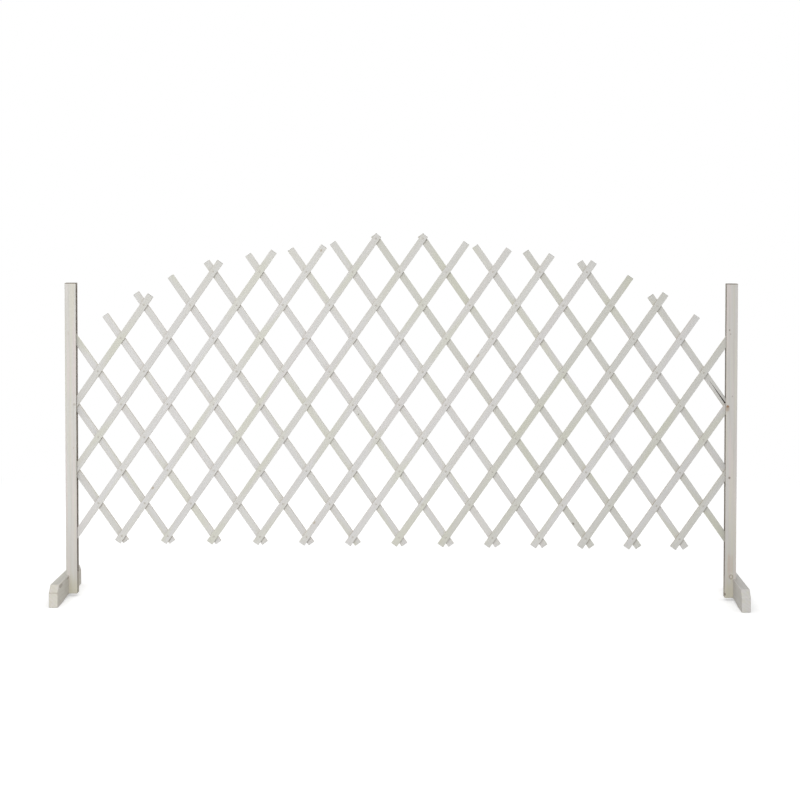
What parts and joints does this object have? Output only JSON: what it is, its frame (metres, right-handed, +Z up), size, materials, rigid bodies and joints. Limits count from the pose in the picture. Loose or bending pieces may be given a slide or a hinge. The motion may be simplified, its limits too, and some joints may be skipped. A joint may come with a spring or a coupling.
{
  "type": "expanding garden trellis",
  "caption": "Free-standing expanding garden trellis: an arched scissor lattice of limewashed slats, nailed at the crossings, that folds between grooved posts on arched feet.",
  "frame": {"origin": "on the floor, below the middle of the trellis", "axes": "+X along the width to the right as seen from the front, +Y from front to back, +Z up"},
  "size_m": [1.833, 0.38, 0.9818],
  "materials": {
    "limewashed_post": "thin matt limewash on planed softwood",
    "limewashed_foot": "thin matt limewash on planed softwood",
    "limewashed_front_slat": "thin matt limewash on sawn softwood",
    "limewashed_back_slat": "thin matt limewash on sawn softwood",
    "nail_steel": "plain steel, tarnished",
    "screw_zinc": "zinc plated"
  },
  "bodies": {
    "left_post": {"left_post": "limewashed_post", "left_foot": "limewashed_foot", "left_foot_screws": "screw_zinc", "left_pivot_nail": "nail_steel"},
    "right_post": {"right_post": "limewashed_post", "right_foot": "limewashed_foot", "right_foot_screws": "screw_zinc", "right_pivot_nail": "nail_steel"},
    "front_slat_01": {"front_slat_01": "limewashed_front_slat", "nails_01": "nail_steel"},
    "front_slat_02": {"front_slat_02": "limewashed_front_slat", "nails_02": "nail_steel"},
    "front_slat_03": {"front_slat_03": "limewashed_front_slat", "nails_03": "nail_steel"},
    "front_slat_04": {"front_slat_04": "limewashed_front_slat", "nails_04": "nail_steel"},
    "front_slat_05": {"front_slat_05": "limewashed_front_slat", "nails_05": "nail_steel"},
    "front_slat_06": {"front_slat_06": "limewashed_front_slat", "nails_06": "nail_steel"},
    "front_slat_07": {"front_slat_07": "limewashed_front_slat", "nails_07": "nail_steel"},
    "front_slat_08": {"front_slat_08": "limewashed_front_slat", "nails_08": "nail_steel"},
    "front_slat_09": {"front_slat_09": "limewashed_front_slat", "nails_09": "nail_steel"},
    "front_slat_10": {"front_slat_10": "limewashed_front_slat", "nails_10": "nail_steel"},
    "front_slat_11": {"front_slat_11": "limewashed_front_slat", "nails_11": "nail_steel"},
    "front_slat_12": {"front_slat_12": "limewashed_front_slat", "nails_12": "nail_steel"},
    "front_slat_13": {"front_slat_13": "limewashed_front_slat", "nails_13": "nail_steel"},
    "front_slat_14": {"front_slat_14": "limewashed_front_slat", "nails_14": "nail_steel"},
    "front_slat_15": {"front_slat_15": "limewashed_front_slat", "nails_15": "nail_steel"},
    "front_slat_16": {"front_slat_16": "limewashed_front_slat", "nails_16": "nail_steel"},
    "back_slat_01": {"back_slat_01": "limewashed_back_slat"},
    "back_slat_02": {"back_slat_02": "limewashed_back_slat"},
    "back_slat_03": {"back_slat_03": "limewashed_back_slat"},
    "back_slat_04": {"back_slat_04": "limewashed_back_slat"},
    "back_slat_05": {"back_slat_05": "limewashed_back_slat"},
    "back_slat_06": {"back_slat_06": "limewashed_back_slat"},
    "back_slat_07": {"back_slat_07": "limewashed_back_slat"},
    "back_slat_08": {"back_slat_08": "limewashed_back_slat"},
    "back_slat_09": {"back_slat_09": "limewashed_back_slat"},
    "back_slat_10": {"back_slat_10": "limewashed_back_slat"},
    "back_slat_11": {"back_slat_11": "limewashed_back_slat"},
    "back_slat_12": {"back_slat_12": "limewashed_back_slat"},
    "back_slat_13": {"back_slat_13": "limewashed_back_slat"},
    "back_slat_14": {"back_slat_14": "limewashed_back_slat"},
    "back_slat_15": {"back_slat_15": "limewashed_back_slat"},
    "back_slat_16": {"back_slat_16": "limewashed_back_slat"}
  },
  "joints": [
    {"name": "left_post_pivot", "type": "hinge", "parent": "left_post", "child": "back_slat_02", "pos_m": [-0.875, 0, 0.52121], "axis": [0, -1, 0], "range_deg": [-30, 10]},
    {"name": "nail_pivot_front_slat_05", "type": "hinge", "parent": "back_slat_02", "child": "front_slat_05", "pos_m": [-0.625, 0, 0.164], "axis": [0, -1, 0], "range_deg": [-20, 60]},
    {"name": "nail_pivot_back_slat_11", "type": "hinge", "parent": "front_slat_05", "child": "back_slat_11", "pos_m": [-0.0625, 0, 0.96771], "axis": [0, -1, 0], "range_deg": [-60, 20]},
    {"name": "nail_pivot_front_slat_14", "type": "hinge", "parent": "back_slat_11", "child": "front_slat_14", "pos_m": [0.5, 0, 0.164], "axis": [0, -1, 0], "range_deg": [-20, 60]},
    {"name": "nail_pivot_back_slat_16", "type": "hinge", "parent": "front_slat_14", "child": "back_slat_16", "pos_m": [0.8125, 0, 0.61051], "axis": [0, -1, 0], "range_deg": [-60, 20]},
    {"name": "right_post_pivot", "type": "hinge", "parent": "back_slat_16", "child": "right_post", "pos_m": [0.875, 0, 0.52121], "axis": [0, -1, 0], "range_deg": [-10, 30]},
    {"name": "nail_pivot_front_slat_01", "type": "hinge", "parent": "back_slat_02", "child": "front_slat_01", "pos_m": [-0.875, 0, 0.52121], "axis": [0, -1, 0], "range_deg": [-20, 60]},
    {"name": "nail_pivot_front_slat_02", "type": "hinge", "parent": "back_slat_02", "child": "front_slat_02", "pos_m": [-0.8125, 0, 0.4319], "axis": [0, -1, 0], "range_deg": [-20, 60]},
    {"name": "nail_pivot_front_slat_03", "type": "hinge", "parent": "back_slat_02", "child": "front_slat_03", "pos_m": [-0.75, 0, 0.3426], "axis": [0, -1, 0], "range_deg": [-20, 60]},
    {"name": "nail_pivot_front_slat_04", "type": "hinge", "parent": "back_slat_02", "child": "front_slat_04", "pos_m": [-0.6875, 0, 0.2533], "axis": [0, -1, 0], "range_deg": [-20, 60]},
    {"name": "nail_pivot_front_slat_06", "type": "hinge", "parent": "back_slat_11", "child": "front_slat_06", "pos_m": [0, 0, 0.87841], "axis": [0, -1, 0], "range_deg": [-20, 60]},
    {"name": "nail_pivot_front_slat_07", "type": "hinge", "parent": "back_slat_11", "child": "front_slat_07", "pos_m": [0.0625, 0, 0.78911], "axis": [0, -1, 0], "range_deg": [-20, 60]},
    {"name": "nail_pivot_front_slat_08", "type": "hinge", "parent": "back_slat_11", "child": "front_slat_08", "pos_m": [0.125, 0, 0.69981], "axis": [0, -1, 0], "range_deg": [-20, 60]},
    {"name": "nail_pivot_front_slat_09", "type": "hinge", "parent": "back_slat_11", "child": "front_slat_09", "pos_m": [0.1875, 0, 0.61051], "axis": [0, -1, 0], "range_deg": [-20, 60]},
    {"name": "nail_pivot_front_slat_10", "type": "hinge", "parent": "back_slat_11", "child": "front_slat_10", "pos_m": [0.25, 0, 0.52121], "axis": [0, -1, 0], "range_deg": [-20, 60]},
    {"name": "nail_pivot_front_slat_11", "type": "hinge", "parent": "back_slat_11", "child": "front_slat_11", "pos_m": [0.3125, 0, 0.4319], "axis": [0, -1, 0], "range_deg": [-20, 60]},
    {"name": "nail_pivot_front_slat_12", "type": "hinge", "parent": "back_slat_11", "child": "front_slat_12", "pos_m": [0.375, 0, 0.3426], "axis": [0, -1, 0], "range_deg": [-20, 60]},
    {"name": "nail_pivot_front_slat_13", "type": "hinge", "parent": "back_slat_11", "child": "front_slat_13", "pos_m": [0.4375, 0, 0.2533], "axis": [0, -1, 0], "range_deg": [-20, 60]},
    {"name": "nail_pivot_back_slat_03", "type": "hinge", "parent": "front_slat_05", "child": "back_slat_03", "pos_m": [-0.5625, 0, 0.2533], "axis": [0, -1, 0], "range_deg": [-60, 20]},
    {"name": "nail_pivot_back_slat_04", "type": "hinge", "parent": "front_slat_05", "child": "back_slat_04", "pos_m": [-0.5, 0, 0.3426], "axis": [0, -1, 0], "range_deg": [-60, 20]},
    {"name": "nail_pivot_back_slat_05", "type": "hinge", "parent": "front_slat_05", "child": "back_slat_05", "pos_m": [-0.4375, 0, 0.4319], "axis": [0, -1, 0], "range_deg": [-60, 20]},
    {"name": "nail_pivot_back_slat_06", "type": "hinge", "parent": "front_slat_05", "child": "back_slat_06", "pos_m": [-0.375, 0, 0.52121], "axis": [0, -1, 0], "range_deg": [-60, 20]},
    {"name": "nail_pivot_back_slat_07", "type": "hinge", "parent": "front_slat_05", "child": "back_slat_07", "pos_m": [-0.3125, 0, 0.61051], "axis": [0, -1, 0], "range_deg": [-60, 20]},
    {"name": "nail_pivot_back_slat_08", "type": "hinge", "parent": "front_slat_05", "child": "back_slat_08", "pos_m": [-0.25, 0, 0.69981], "axis": [0, -1, 0], "range_deg": [-60, 20]},
    {"name": "nail_pivot_back_slat_09", "type": "hinge", "parent": "front_slat_05", "child": "back_slat_09", "pos_m": [-0.1875, 0, 0.78911], "axis": [0, -1, 0], "range_deg": [-60, 20]},
    {"name": "nail_pivot_back_slat_10", "type": "hinge", "parent": "front_slat_05", "child": "back_slat_10", "pos_m": [-0.125, 0, 0.87841], "axis": [0, -1, 0], "range_deg": [-60, 20]},
    {"name": "nail_pivot_back_slat_12", "type": "hinge", "parent": "front_slat_14", "child": "back_slat_12", "pos_m": [0.5625, 0, 0.2533], "axis": [0, -1, 0], "range_deg": [-60, 20]},
    {"name": "nail_pivot_back_slat_13", "type": "hinge", "parent": "front_slat_14", "child": "back_slat_13", "pos_m": [0.625, 0, 0.3426], "axis": [0, -1, 0], "range_deg": [-60, 20]},
    {"name": "nail_pivot_back_slat_14", "type": "hinge", "parent": "front_slat_14", "child": "back_slat_14", "pos_m": [0.6875, 0, 0.4319], "axis": [0, -1, 0], "range_deg": [-60, 20]},
    {"name": "nail_pivot_back_slat_15", "type": "hinge", "parent": "front_slat_14", "child": "back_slat_15", "pos_m": [0.75, 0, 0.52121], "axis": [0, -1, 0], "range_deg": [-60, 20]},
    {"name": "nail_pivot_back_slat_01", "type": "hinge", "parent": "front_slat_04", "child": "back_slat_01", "pos_m": [-0.75, 0, 0.164], "axis": [0, -1, 0], "range_deg": [-60, 20]},
    {"name": "nail_pivot_front_slat_15", "type": "hinge", "parent": "back_slat_16", "child": "front_slat_15", "pos_m": [0.875, 0, 0.52121], "axis": [0, -1, 0], "range_deg": [-20, 60]},
    {"name": "nail_pivot_front_slat_16", "type": "hinge", "parent": "back_slat_14", "child": "front_slat_16", "pos_m": [0.8125, 0, 0.2533], "axis": [0, -1, 0], "range_deg": [-20, 60]}
  ],
  "couplings": [
    {"joint": "nail_pivot_front_slat_05", "follows": "left_post_pivot", "ratio": -2},
    {"joint": "nail_pivot_back_slat_11", "follows": "left_post_pivot", "ratio": 2},
    {"joint": "nail_pivot_front_slat_14", "follows": "left_post_pivot", "ratio": -2},
    {"joint": "nail_pivot_back_slat_16", "follows": "left_post_pivot", "ratio": 2},
    {"joint": "right_post_pivot", "follows": "left_post_pivot", "ratio": -1},
    {"joint": "nail_pivot_front_slat_01", "follows": "left_post_pivot", "ratio": -2},
    {"joint": "nail_pivot_front_slat_02", "follows": "left_post_pivot", "ratio": -2},
    {"joint": "nail_pivot_front_slat_03", "follows": "left_post_pivot", "ratio": -2},
    {"joint": "nail_pivot_front_slat_04", "follows": "left_post_pivot", "ratio": -2},
    {"joint": "nail_pivot_front_slat_06", "follows": "left_post_pivot", "ratio": -2},
    {"joint": "nail_pivot_front_slat_07", "follows": "left_post_pivot", "ratio": -2},
    {"joint": "nail_pivot_front_slat_08", "follows": "left_post_pivot", "ratio": -2},
    {"joint": "nail_pivot_front_slat_09", "follows": "left_post_pivot", "ratio": -2},
    {"joint": "nail_pivot_front_slat_10", "follows": "left_post_pivot", "ratio": -2},
    {"joint": "nail_pivot_front_slat_11", "follows": "left_post_pivot", "ratio": -2},
    {"joint": "nail_pivot_front_slat_12", "follows": "left_post_pivot", "ratio": -2},
    {"joint": "nail_pivot_front_slat_13", "follows": "left_post_pivot", "ratio": -2},
    {"joint": "nail_pivot_back_slat_03", "follows": "left_post_pivot", "ratio": 2},
    {"joint": "nail_pivot_back_slat_04", "follows": "left_post_pivot", "ratio": 2},
    {"joint": "nail_pivot_back_slat_05", "follows": "left_post_pivot", "ratio": 2},
    {"joint": "nail_pivot_back_slat_06", "follows": "left_post_pivot", "ratio": 2},
    {"joint": "nail_pivot_back_slat_07", "follows": "left_post_pivot", "ratio": 2},
    {"joint": "nail_pivot_back_slat_08", "follows": "left_post_pivot", "ratio": 2},
    {"joint": "nail_pivot_back_slat_09", "follows": "left_post_pivot", "ratio": 2},
    {"joint": "nail_pivot_back_slat_10", "follows": "left_post_pivot", "ratio": 2},
    {"joint": "nail_pivot_back_slat_12", "follows": "left_post_pivot", "ratio": 2},
    {"joint": "nail_pivot_back_slat_13", "follows": "left_post_pivot", "ratio": 2},
    {"joint": "nail_pivot_back_slat_14", "follows": "left_post_pivot", "ratio": 2},
    {"joint": "nail_pivot_back_slat_15", "follows": "left_post_pivot", "ratio": 2},
    {"joint": "nail_pivot_back_slat_01", "follows": "left_post_pivot", "ratio": 2},
    {"joint": "nail_pivot_front_slat_15", "follows": "left_post_pivot", "ratio": -2},
    {"joint": "nail_pivot_front_slat_16", "follows": "left_post_pivot", "ratio": -2}
  ]
}
